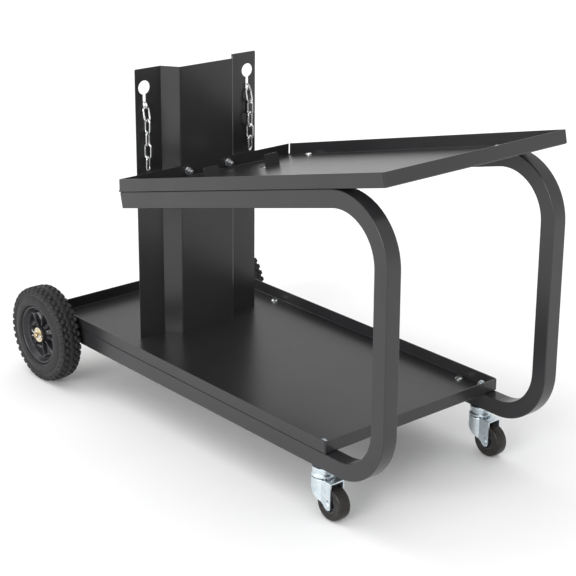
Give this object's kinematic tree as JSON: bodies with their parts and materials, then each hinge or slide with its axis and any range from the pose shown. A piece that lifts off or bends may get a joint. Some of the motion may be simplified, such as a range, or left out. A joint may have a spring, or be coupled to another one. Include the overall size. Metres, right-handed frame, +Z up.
{
  "type": "welding cart",
  "caption": "Low two-shelf welding cart with bent square-tube sides, a sloping top tray, a folded bottle panel with chain, big rear wheels and front swivel casters.",
  "frame": {"origin": "on the floor, midway along the cart's length and width", "axes": "+X along the cart towards the posts and casters, +Y to the left, +Z up"},
  "size_m": [0.8756, 0.444, 0.5502],
  "materials": {
    "powder_coat": "satin black powder coat with a fine orange-peel",
    "plug_plastic": "matt black",
    "zinc_plate": "bright zinc plate",
    "axle_steel": "plain drawn steel",
    "yellow_zinc": "yellow passivated zinc",
    "blue_zinc": "light blue passivated zinc, pressed sheet",
    "bearing_steel": "polished balls",
    "tyre_rubber": "matt moulded rubber",
    "caster_rubber": "hard black rubber",
    "hub_plastic": "moulded black plastic",
    "bush_nylon": "natural nylon",
    "chain_zinc": "bright zinc plated wire"
  },
  "bodies": {
    "cart": {"side_tube_left": "powder_coat", "side_tube_right": "powder_coat", "tube_end_plugs": "plug_plastic", "lower_tray": "powder_coat", "top_tray": "powder_coat", "back_panel": "powder_coat", "lower_tray_screws": "zinc_plate", "top_tray_screws": "zinc_plate", "panel_foot_screws": "zinc_plate", "panel_bolts": "zinc_plate", "panel_washers": "zinc_plate", "panel_nuts": "zinc_plate", "rear_axle": "axle_steel", "axle_washers": "yellow_zinc", "split_pins": "zinc_plate", "caster_stems": "blue_zinc", "caster_top_races": "blue_zinc", "caster_stem_washers": "zinc_plate", "caster_stem_nuts": "zinc_plate", "chain_slot_links": "chain_zinc"},
    "rear_wheel_left": {"wheel_tyre_left": "tyre_rubber", "wheel_hub_left": "hub_plastic", "wheel_bushes_left": "bush_nylon"},
    "caster_left": {"caster_fork_left": "blue_zinc", "caster_balls_left": "bearing_steel", "caster_axle_left": "blue_zinc"},
    "caster_wheel_left": {"caster_tyre_left": "caster_rubber", "caster_core_left": "hub_plastic", "caster_bush_left": "bush_nylon"},
    "rear_wheel_right": {"wheel_tyre_right": "tyre_rubber", "wheel_hub_right": "hub_plastic", "wheel_bushes_right": "bush_nylon"},
    "caster_right": {"caster_fork_right": "blue_zinc", "caster_balls_right": "bearing_steel", "caster_axle_right": "blue_zinc"},
    "caster_wheel_right": {"caster_tyre_right": "caster_rubber", "caster_core_right": "hub_plastic", "caster_bush_right": "bush_nylon"},
    "chain_tail_left": {"chain_tail_left": "chain_zinc"},
    "chain_tail_right": {"chain_tail_right": "chain_zinc"},
    "chain_loop": {"chain_loop": "chain_zinc"}
  },
  "joints": [
    {"name": "rear_wheel_left_spin", "type": "hinge", "parent": "cart", "child": "rear_wheel_left", "pos_m": [-0.35635, 0.199, 0.0815], "axis": [0, 1, 0], "continuous": true},
    {"name": "caster_left_swivel", "type": "hinge", "parent": "cart", "child": "caster_left", "pos_m": [0.30565, 0.1623, 0.06], "axis": [0, 0, 1], "continuous": true},
    {"name": "caster_left_roll", "type": "hinge", "parent": "caster_left", "child": "caster_wheel_left", "pos_m": [0.32965, 0.1623, 0.0255], "axis": [0, 1, 0], "continuous": true},
    {"name": "rear_wheel_right_spin", "type": "hinge", "parent": "cart", "child": "rear_wheel_right", "pos_m": [-0.35635, -0.199, 0.0815], "axis": [0, 1, 0], "continuous": true},
    {"name": "caster_right_swivel", "type": "hinge", "parent": "cart", "child": "caster_right", "pos_m": [0.30565, -0.1623, 0.06], "axis": [0, 0, 1], "continuous": true},
    {"name": "caster_right_roll", "type": "hinge", "parent": "caster_right", "child": "caster_wheel_right", "pos_m": [0.32965, -0.1623, 0.0255], "axis": [0, 1, 0], "continuous": true},
    {"name": "chain_tail_left_swing", "type": "hinge", "parent": "cart", "child": "chain_tail_left", "pos_m": [-0.1886, 0.1036, 0.49013], "axis": [0, -1, 0], "range_deg": [0, 80]},
    {"name": "chain_tail_right_swing", "type": "hinge", "parent": "cart", "child": "chain_tail_right", "pos_m": [-0.1886, -0.1036, 0.49013], "axis": [0, -1, 0], "range_deg": [0, 80]},
    {"name": "chain_loop_swing", "type": "hinge", "parent": "cart", "child": "chain_loop", "pos_m": [-0.20432, 0, 0.49013], "axis": [0, 1, 0], "range_deg": [0, 80]}
  ]
}
